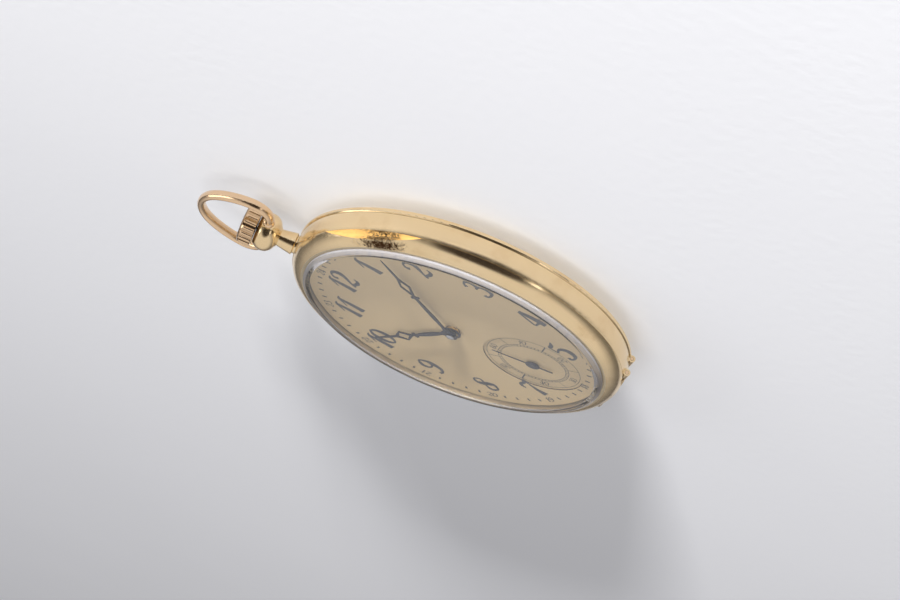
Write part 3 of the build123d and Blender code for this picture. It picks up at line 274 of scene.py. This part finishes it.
def dull_inner_wall(shader, colour, roughness):
    """The wall round the crystal, left duller than the rest of the bezel."""
    from_axis = shader.vector("LENGTH", shader.stretched((1, 1, 0)))
    inner = shader.ramp(from_axis, INNER_WALL_RADIUS + 0.1 * MM, INNER_WALL_RADIUS)
    return shader.mix(inner, colour, DULL_GOLD), shader.math("MULTIPLY_ADD", inner, 0.3, roughness)


def grimy_grooves(shader, colour):
    """Painted shade that darkens the crown deep in its grooves, by depth measured from its own axis."""
    from_middle = shader.vector("SUBTRACT", shader.place, (0, 0, CROWN_MIDDLE.z))
    depth = shader.vector("LENGTH", shader.stretched((1, 0, 1), from_middle))
    # Painted shade: darker the deeper a point lies in a groove.
    groove_shade = shader.ramp(depth, CROWN_RADIUS - 0.08 * MM, CROWN_RADIUS - 0.42 * MM, 0.0, 0.85)
    return shader.mix(groove_shade, colour, CROWN_GROOVE_SHADE)


def metal_surface(shader, colour, roughness, normal):
    surface = shader.surface(Base_Color=colour, Metallic=1.0, Roughness=roughness, Normal=normal)
    return shader.finish(surface)


def gold_material(name, tones):
    shader = new_material(name)
    return metal_surface(shader, *polished_gold(shader, *tones))


def bezel_material():
    shader = new_material("worn_bezel_gold")
    colour, roughness, normal = worn_patch(shader, *polished_gold(shader, *YELLOW_GOLD))
    colour, roughness = dull_inner_wall(shader, colour, roughness)
    return metal_surface(shader, colour, roughness, normal)


def crown_material():
    shader = new_material("fluted_gold")
    colour, roughness, normal = polished_gold(shader, *ROSE_GOLD)
    return metal_surface(shader, grimy_grooves(shader, colour), roughness, normal)


# ---------------------------------------------------------------- the other materials


def crystal_material():
    """Clear old glass with a grey ring painted on its rim in place of the light its edge refracts. Shadow and
    soft light pass through, so that the dial is lit.
    """
    shader = new_material("watch_glass")
    hairlines = shader.noise(2600, 5, 0.7, shader.stretched((0.15, 1.8, 1)))
    normal = shader.bump(hairlines, 0.0006 * MM, 0.5)
    roughness = shader.ramp(shader.noise(120, 3), 0.45, 0.8, 0.0, 0.03)
    glass = shader.surface(Base_Color=GLASS, Roughness=roughness, IOR=1.5, Transmission_Weight=1.0,
                           Normal=normal)
    # Painted grey ring on the rim, standing in for light refracted through the crystal's edge.
    painted_rim_grey = shader.surface(Base_Color=shader.mix(shader.noise(1500, 3), *PAINTED_RIM_GREYS), Roughness=0.4, IOR=1.5)
    rim_translucence = shader.surface("BsdfTranslucent", Color=PAINTED_RIM_TRANSLUCENCE)
    painted_rim = shader.blend(0.35, painted_rim_grey, rim_translucence)
    from_axis = shader.vector("LENGTH", shader.stretched((1, 1, 0)))
    painted_rim_share = shader.ramp(from_axis, PAINTED_RIM_RADIUS, PAINTED_RIM_RADIUS + PAINTED_RIM_FADE, 0.0, 0.7, smooth=True)
    seen = shader.blend(painted_rim_share, glass, painted_rim)
    clear = shader.surface("BsdfTransparent", Color=GLASS_SHADOW)
    path = shader.node("LightPath")
    through = shader.math("MAXIMUM", path.outputs["Is Shadow Ray"], path.outputs["Is Diffuse Ray"])
    return shader.finish(shader.blend(through, seen, clear))


def dial_material():
    """Champagne dial with fine grain and a few age spots. Its upright walls are painted dark as shade, unlike
    its face.
    """
    shader = new_material("champagne_dial")
    grain = shader.noise(6000, 3, 0.6)
    cloud = shader.noise(70, 4)
    colour = shader.mix(cloud, *CHAMPAGNE)
    colour = shader.mix(shader.ramp(grain, 0.35, 0.75, 0.0, 0.25), colour, DIAL_GRAIN)
    spots = shader.ramp(shader.cells(260), 0.075, 0.045)
    colour = shader.mix(shader.math("MULTIPLY", spots, 0.35), colour, AGE_SPOT)
    facing = shader.node("SeparateXYZ", Vector=shader.node("NewGeometry").outputs["Normal"]).outputs["Z"]
    # Painted shade on the upright walls, picked out by their normals.
    wall_shade = shader.ramp(shader.math("ABSOLUTE", facing), 0.7, 0.4)
    colour = shader.mix(wall_shade, colour, DIAL_WALL_SHADE)
    roughness = shader.ramp(cloud, 0.3, 0.7, 0.38, 0.5)
    normal = shader.bump(grain, 0.004 * MM, 0.5)
    surface = shader.surface(Base_Color=colour, Metallic=0.1, Roughness=roughness, Normal=normal,
                             Specular_IOR_Level=0.12)
    return shader.finish(surface)


def ink_material():
    """Dark printing ink, slightly uneven and worn thin in places."""
    shader = new_material("dial_ink")
    wear = shader.noise(2200, 4, 0.65)
    roughness = shader.ramp(wear, 0.3, 0.7, 0.4, 0.65)
    normal = shader.bump(wear, 0.003 * MM, 0.6)
    colour = shader.mix(wear, *INK_BLACK)
    return shader.finish(shader.surface(Base_Color=colour, Roughness=roughness, Normal=normal))


def floor_material():
    """Pale card with an uneven surface, drawn from above only, so that an opened back shows from below."""
    shader = new_material("pale_card")
    colour = shader.mix(shader.noise(14, 3), *CARD)
    normal = shader.bump(shader.noise(650, 3, 0.5), 0.035 * MM, 0.3)
    card = shader.surface(Base_Color=colour, Roughness=0.62, Normal=normal, Specular_IOR_Level=0.3)
    backfacing = shader.node("NewGeometry").outputs["Backfacing"]
    return shader.finish(shader.blend(backfacing, card, shader.surface("BsdfTransparent")))


def grained_metal(name, tones, rough, grain_scale, grain_depth, stretch=(1, 1, 1), stripe=0.0):
    """Metal with a drawn grain, its depth in mm. A stripe width gives the broad bands of a dressed plate."""
    shader = new_material(name)
    colour = shader.mix(shader.noise(200, 3), *tones)
    grain = shader.noise(grain_scale, 4, 0.6, shader.stretched(stretch))
    roughness = shader.ramp(grain, 0.3, 0.75, *rough)
    normal = shader.bump(grain, grain_depth * MM, 0.6)
    if stripe:
        counted = shader.stretched((1 / stripe, 1 / stripe, 1))
        across = shader.node("SeparateXYZ", Vector=counted).outputs["X"]
        band = shader.math("FRACT", across)
        rounded = shader.math("MULTIPLY", band, shader.math("SUBTRACT", 1.0, band))
        normal = shader.bump(rounded, 0.05 * MM, 0.8, normal)
        roughness = shader.math("MULTIPLY_ADD", band, 0.12, roughness)
    return metal_surface(shader, colour, roughness, normal)


def ruby_material():
    """Synthetic ruby of the jewels: clear pink red, with faint growth clouding."""
    shader = new_material("ruby")
    colour = shader.mix(shader.noise(1200, 3), *RUBY)
    normal = shader.bump(shader.noise(5000, 2), 0.0005 * MM, 0.4)
    surface = shader.surface(Base_Color=colour, Roughness=0.06, IOR=1.76, Transmission_Weight=0.6,
                             Normal=normal)
    return shader.finish(surface)


# ---------------------------------------------------------------- dressing the pieces


def dress(material, names):
    for name in names:
        slots = nodes[name].data.materials
        slots.clear()
        slots.append(material)


def made_of(cad_material):
    """Names of the pieces that still carry this material of the CAD."""
    carried = {name: node.material_slots for name, node in nodes.items()}
    return [name for name, slots in carried.items() if slots and slots[0].material.name == cad_material]


FINISHES = {
    "gold": gold_material("worn_gold", YELLOW_GOLD),
    "plate": grained_metal("gilt_plate", GILT, rough=(0.28, 0.45), grain_scale=3200, grain_depth=0.003,
                           stretch=(1, 0.15, 1), stripe=PLATE_STRIPE),
    "wheel": grained_metal("brass_wheel", BRASS, rough=(0.2, 0.36), grain_scale=2600, grain_depth=0.002,
                           stretch=(1, 0.3, 1)),
    "steel": grained_metal("polished_steel", STEEL, rough=(0.12, 0.28), grain_scale=2800, grain_depth=0.0015,
                           stretch=(0.3, 1, 1)),
    "blued_steel": grained_metal("blued_steel", BLUED_STEEL, rough=(0.16, 0.3), grain_scale=2600,
                                 grain_depth=0.0015),
    "ruby": ruby_material(),
}
for cad_material, finish in FINISHES.items():
    dress(finish, made_of(cad_material))

dress(bezel_material(), ["bezel"])
dress(gold_material("rosy_gold", ROSE_GOLD), ["bow", "bezel_hinge_pin", "back_hinge_pin"])
dress(crown_material(), ["crown"])
dress(crystal_material(), ["crystal"])
dress(dial_material(), ["dial"])
hand_steel = grained_metal("blued_steel_hands", DARK_BLUED_STEEL, rough=(0.25, 0.4), grain_scale=3000,
                           grain_depth=0.002)
dress(hand_steel, ["hour_hand", "minute_hand", "seconds_hand", "cannon_pinion"])

# ---------------------------------------------------------------- printing on the dial

# Pen strokes of each figure in a box one unit high: place across, place up, and width of the stroke there.
FIGURES = {
    "0": [[(0.28, 0.98, 0.06), (0.5, 0.8, 0.13), (0.56, 0.5, 0.17), (0.5, 0.2, 0.13), (0.28, 0.02, 0.06),
           (0.07, 0.2, 0.13), (0.01, 0.5, 0.17), (0.07, 0.8, 0.13), (0.28, 0.98, 0.06)]],
    "1": [[(0.02, 0.6, 0.03), (0.16, 0.76, 0.06), (0.3, 0.93, 0.09)],
          [(0.24, 0.92, 0.05), (0.36, 0.97, 0.08), (0.5, 1.0, 0.03)],
          [(0.34, 0.97, 0.07), (0.3, 0.6, 0.15), (0.26, 0.25, 0.18), (0.22, 0.0, 0.21)]],
    "2": [[(0.1, 0.7, 0.12), (0.06, 0.84, 0.08), (0.2, 0.97, 0.06), (0.4, 0.95, 0.13), (0.51, 0.76, 0.18),
           (0.43, 0.54, 0.13), (0.22, 0.3, 0.08), (0.04, 0.08, 0.05)],
          [(0.02, 0.06, 0.05), (0.16, 0.12, 0.1), (0.34, 0.05, 0.13), (0.5, 0.07, 0.09), (0.6, 0.22, 0.03)]],
    "3": [[(0.07, 0.84, 0.11), (0.2, 0.97, 0.06), (0.39, 0.94, 0.12), (0.47, 0.77, 0.16), (0.36, 0.58, 0.09),
           (0.2, 0.54, 0.05)],
          [(0.2, 0.54, 0.05), (0.42, 0.5, 0.1), (0.54, 0.28, 0.18), (0.42, 0.06, 0.12), (0.2, 0.02, 0.07),
           (0.05, 0.1, 0.09), (0.07, 0.2, 0.11)]],
    "4": [[(0.36, 1.0, 0.05), (0.16, 0.6, 0.07), (0.0, 0.3, 0.05)],
          [(0.0, 0.28, 0.06), (0.2, 0.24, 0.08), (0.42, 0.26, 0.08), (0.64, 0.31, 0.04)],
          [(0.42, 1.0, 0.13), (0.42, 0.6, 0.18), (0.4, 0.3, 0.2), (0.38, 0.0, 0.23)]],
    "5": [[(0.14, 0.95, 0.07), (0.28, 0.91, 0.13), (0.42, 0.94, 0.1), (0.56, 1.02, 0.03)],
          [(0.15, 0.95, 0.06), (0.12, 0.78, 0.05), (0.08, 0.57, 0.05)],
          [(0.08, 0.56, 0.05), (0.26, 0.63, 0.08), (0.46, 0.54, 0.14), (0.54, 0.31, 0.18), (0.42, 0.07, 0.13),
           (0.2, 0.02, 0.07), (0.05, 0.1, 0.1), (0.08, 0.2, 0.11)]],
    "7": [[(0.02, 0.72, 0.05), (0.06, 0.88, 0.1), (0.2, 0.96, 0.11), (0.36, 0.9, 0.11), (0.5, 0.96, 0.08),
           (0.58, 1.0, 0.03)],
          [(0.54, 0.98, 0.04), (0.42, 0.66, 0.07), (0.3, 0.35, 0.13), (0.24, 0.0, 0.22)]],
    "8": [[(0.46, 0.84, 0.07), (0.3, 0.97, 0.06), (0.14, 0.83, 0.11), (0.2, 0.63, 0.17), (0.4, 0.44, 0.18),
           (0.51, 0.24, 0.13), (0.3, 0.03, 0.07), (0.06, 0.2, 0.11), (0.14, 0.42, 0.07), (0.36, 0.6, 0.06),
           (0.47, 0.76, 0.07), (0.46, 0.84, 0.07)]],
    "9": [[(0.52, 0.72, 0.15), (0.31, 0.97, 0.06), (0.07, 0.8, 0.14), (0.07, 0.6, 0.12), (0.23, 0.46, 0.06),
           (0.42, 0.52, 0.08), (0.52, 0.72, 0.13)],
          [(0.52, 0.74, 0.15), (0.52, 0.45, 0.18), (0.4, 0.14, 0.13), (0.2, 0.02, 0.07), (0.05, 0.1, 0.11)]],
}
FIGURE_WIDTH = 0.58
FIGURES["6"] = [[(FIGURE_WIDTH - x, 1 - y, width) for x, y, width in stroke] for stroke in FIGURES["9"]]

# Room each figure takes in a number, in heights, the space left of it, and the lean to the right.
FIGURE_ADVANCES = {"1": 0.52}
USUAL_ADVANCE = 0.7
FIGURE_MARGIN = 0.06
FIGURE_SLANT = 0.1


def smooth_stroke(points, steps=7):
    """Points along a smooth curve through the given ones, each with its width."""
    ends = [points[0]] + list(points) + [points[-1]]
    curve = []
    for k in range(1, len(ends) - 2):
        before, start, end, after = (Vector(point) for point in ends[k - 1:k + 3])
        for step in range(steps):
            t = step / steps
            straight = 2 * start + (end - before) * t
            bend = (2 * before - 5 * start + 4 * end - after) * t ** 2
            twist = (3 * start - before - 3 * end + after) * t ** 3
            curve.append(0.5 * (straight + bend + twist))
    curve.append(Vector(points[-1]))
    return curve


def ribbon(mesh, points, low, high, closed=False):
    """A thin flat band along points of (x, y, width), as a closed solid between two heights."""
    count = len(points)
    rails = []
    for k, (x, y, width) in enumerate(points):
        before = points[k - 1] if k or closed else points[k]
        after = points[(k + 1) % count] if k < count - 1 or closed else points[k]
        along = Vector((after[0] - before[0], after[1] - before[1])).normalized()
        side = Vector((-along.y, along.x)) * width / 2
        corners = ((side, high), (-side, high), (-side, low), (side, low))
        rails.append([mesh.verts.new((x + offset.x, y + offset.y, z)) for offset, z in corners])
    for k in range(count if closed else count - 1):
        here, there = rails[k], rails[(k + 1) % count]
        for a in range(4):
            b = (a + 1) % 4
            mesh.faces.new((here[a], here[b], there[b], there[a]))
    if not closed:
        mesh.faces.new(rails[0][::-1])
        mesh.faces.new(rails[-1])


def write_number(mesh, text, middle, height, turn, surface, weight=1.0):
    """Figures of text centred on a point, turned by an angle, lying on a surface at the given height."""
    advances = [FIGURE_ADVANCES.get(figure, USUAL_ADVANCE) for figure in text]
    start = FIGURE_MARGIN - sum(advances) / 2
    cosine, sine = math.cos(turn), math.sin(turn)
    level = 0
    for figure, advance in zip(text, advances):
        for stroke in FIGURES[figure]:
            placed = []
            for x, y, width in smooth_stroke(stroke):
                across = (start + x + FIGURE_SLANT * (y - 0.5)) * height
                up = (y - 0.5) * height
                placed.append((middle[0] + across * cosine - up * sine,
                               middle[1] + across * sine + up * cosine,
                               width * height * weight))
            ribbon(mesh, placed, surface - INK, surface + INK + level * INK_STEP)
            level += 1
        start += advance


def ring_line(mesh, middle, radius, width, surface, steps=180):
    points = []
    for k in range(steps):
        angle = 2 * math.pi * k / steps
        points.append((middle[0] + radius * math.cos(angle), middle[1] + radius * math.sin(angle), width))
    ribbon(mesh, points, surface - INK, surface + INK, closed=True)


def clock_point(middle, radius, turn):
    """Point at a clockwise turn, in fractions of the circle, from twelve o'clock."""
    angle = 2 * math.pi * turn
    return middle[0] + radius * math.sin(angle), middle[1] + radius * math.cos(angle)


def radial_dash(mesh, middle, radii, turn, width, surface):
    ends = [clock_point(middle, radius, turn) for radius in radii]
    ribbon(mesh, [(x, y, width) for x, y in ends], surface - INK, surface + INK - INK_STEP)


def readable_turn(turn):
    """Angle of a figure that follows the circle, turned over in the lower half so that it reads upright."""
    angle = -2 * math.pi * turn
    return angle + math.pi if 0.25 < turn < 0.75 else angle


def printed_piece(name, mesh, ink):
    data = bpy.data.meshes.new(name)
    bmesh.ops.recalc_face_normals(mesh, faces=mesh.faces)
    mesh.to_mesh(data)
    mesh.free()
    data.materials.append(ink)
    piece = bpy.data.objects.new(name, data)
    bpy.context.scene.collection.objects.link(piece)
    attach(piece, "case")


def print_hours(ink):
    mesh = bmesh.new()
    for hour in HOURS_SHOWN:
        place = clock_point(DIAL_MIDDLE, HOUR_RADIUS, hour / 12)
        write_number(mesh, str(hour), place, HOUR_HEIGHT, 0, DIAL_TOP, HOUR_WEIGHT)
    printed_piece("hour_figures", mesh, ink)


def print_track(ink):
    """Dashes at the minutes, with the hours 13 to 24 at every fifth."""
    mesh = bmesh.new()
    for minute in range(60):
        turn = minute / 60
        if minute % 5:
            radial_dash(mesh, DIAL_MIDDLE, TRACK_DASH, turn, TRACK_DASH_WIDTH, DIAL_TOP)
        else:
            hour = 12 + (minute // 5 or 12)
            place = clock_point(DIAL_MIDDLE, TRACK_RADIUS, turn)
            write_number(mesh, str(hour), place, TRACK_FIGURE_HEIGHT, readable_turn(turn), DIAL_TOP)
    printed_piece("outer_track", mesh, ink)


def print_seconds(ink):
    """Rings, dashes at the seconds, a spoke between the figures and a figure at every tenth second."""
    mesh = bmesh.new()
    for radius in SECONDS_RINGS:
        ring_line(mesh, SECONDS_MIDDLE, radius, SECONDS_RING_WIDTH, SECONDS_FLOOR)
    for second in range(60):
        turn = second / 60
        radial_dash(mesh, SECONDS_MIDDLE, SECONDS_DASH, turn, SECONDS_DASH_WIDTH, SECONDS_FLOOR)
        if second in SPOKE_WIDTHS:
            radial_dash(mesh, SECONDS_MIDDLE, SECONDS_SPOKE, turn, SPOKE_WIDTHS[second], SECONDS_FLOOR)
        if second % 10 == 0:
            place = clock_point(SECONDS_MIDDLE, SECONDS_FIGURE_RADIUS, turn)
            write_number(mesh, str(second or 60), place, SECONDS_FIGURE_HEIGHT, readable_turn(turn),
                         SECONDS_FLOOR, SECONDS_FIGURE_WEIGHT)
    printed_piece("seconds_track", mesh, ink)


dial_ink = ink_material()
print_hours(dial_ink)
print_track(dial_ink)
print_seconds(dial_ink)

# ---------------------------------------------------------------- floor, light and camera


def build_floor():
    half = FLOOR_HALF
    corners = [(-half, -half, 0), (half, -half, 0), (half, half, 0), (-half, half, 0)]
    mesh = bpy.data.meshes.new("floor")
    mesh.from_pydata(corners, [], [(0, 1, 2, 3)])
    mesh.materials.append(floor_material())
    floor = bpy.data.objects.new("floor", mesh)
    bpy.context.scene.collection.objects.link(floor)


def area_light(name, place, aim, size, power, mirrored=True):
    """Rectangular lamp aimed at a point. If it isn't mirrored, it doesn't show in reflections."""
    data = bpy.data.lights.new(name, "AREA")
    data.shape = "RECTANGLE"
    data.size, data.size_y = size
    data.energy = power
    light = bpy.data.objects.new(name, data)
    light.location = place
    light.rotation_euler = (Vector(aim) - Vector(place)).to_track_quat("-Z", "Y").to_euler()
    light.visible_glossy = mirrored
    bpy.context.scene.collection.objects.link(light)


def build_lights():
    """A low window that draws the long shadow, soft light from above, and two panels seen in the gold."""
    area_light("window", place=(1.24, 0.418, 0.0757), aim=CASE_BOTTOM, size=(0.222, 0.072), power=100,
               mirrored=False)
    area_light("overhead", place=(0.22, 0.08, 0.25), aim=NEAR_PENDANT, size=(0.25, 0.2), power=0.42,
               mirrored=False)
    area_light("left_panel", place=(0.10, 0.80, 0.26), aim=CASE_CENTRE, size=(0.8, 0.30), power=1.5)
    area_light("right_strip", place=(0.62, -0.42, 0.20), aim=CASE_CENTRE, size=(0.10, 0.22), power=0.12)


def sky_colour(shader, direction):
    height = shader.node("SeparateXYZ", Vector=direction).outputs["Z"]
    ramp = shader.node("ValToRGB", Fac=height)
    stops = ramp.color_ramp.elements
    while len(stops) < len(SKY_STOPS):
        stops.new(0.5)
    for stop, (position, grey) in zip(stops, SKY_STOPS):
        stop.position = position
        stop.color = rgb(grey, grey, grey * 1.03)
    return ramp.outputs["Color"]


def build_world():
    """Grey studio air, brighter overhead and in reflections, with a dim patch where the camera stands."""
    world = bpy.data.worlds.new("studio")
    bpy.context.scene.world = world
    shader = Shader(world)
    direction = shader.node("TexCoord").outputs["Generated"]
    toward_camera = shader.vector("DOT_PRODUCT", direction, CAMERA_PLACE.normalized())
    patch = shader.ramp(toward_camera, 0.74, 0.92, smooth=True)
    colour = shader.mix(patch, sky_colour(shader, direction), DIM_PATCH)
    reflection = shader.node("LightPath").outputs["Is Glossy Ray"]
    strength = shader.math("MULTIPLY_ADD", reflection, SKY_EXTRA_IN_REFLECTIONS, SKY_STRENGTH)
    background = shader.node("Background", Color=colour, Strength=strength)
    shader.node("OutputWorld", Surface=background.outputs["Background"])


def build_camera():
    data = bpy.data.cameras.new("camera")
    data.sensor_width = CAMERA_SENSOR
    data.lens = CAMERA_LENS
    data.clip_start = CAMERA_CLIP
    camera = bpy.data.objects.new("camera", data)
    back = CAMERA_RIGHT.cross(CAMERA_UP)
    turn = Matrix((CAMERA_RIGHT, CAMERA_UP, back)).transposed()
    camera.matrix_world = Matrix.Translation(CAMERA_PLACE) @ turn.to_4x4()
    bpy.context.scene.collection.objects.link(camera)
    bpy.context.scene.camera = camera


build_floor()
build_world()
build_lights()
build_camera()
bpy.context.scene.view_settings.view_transform = "Standard"
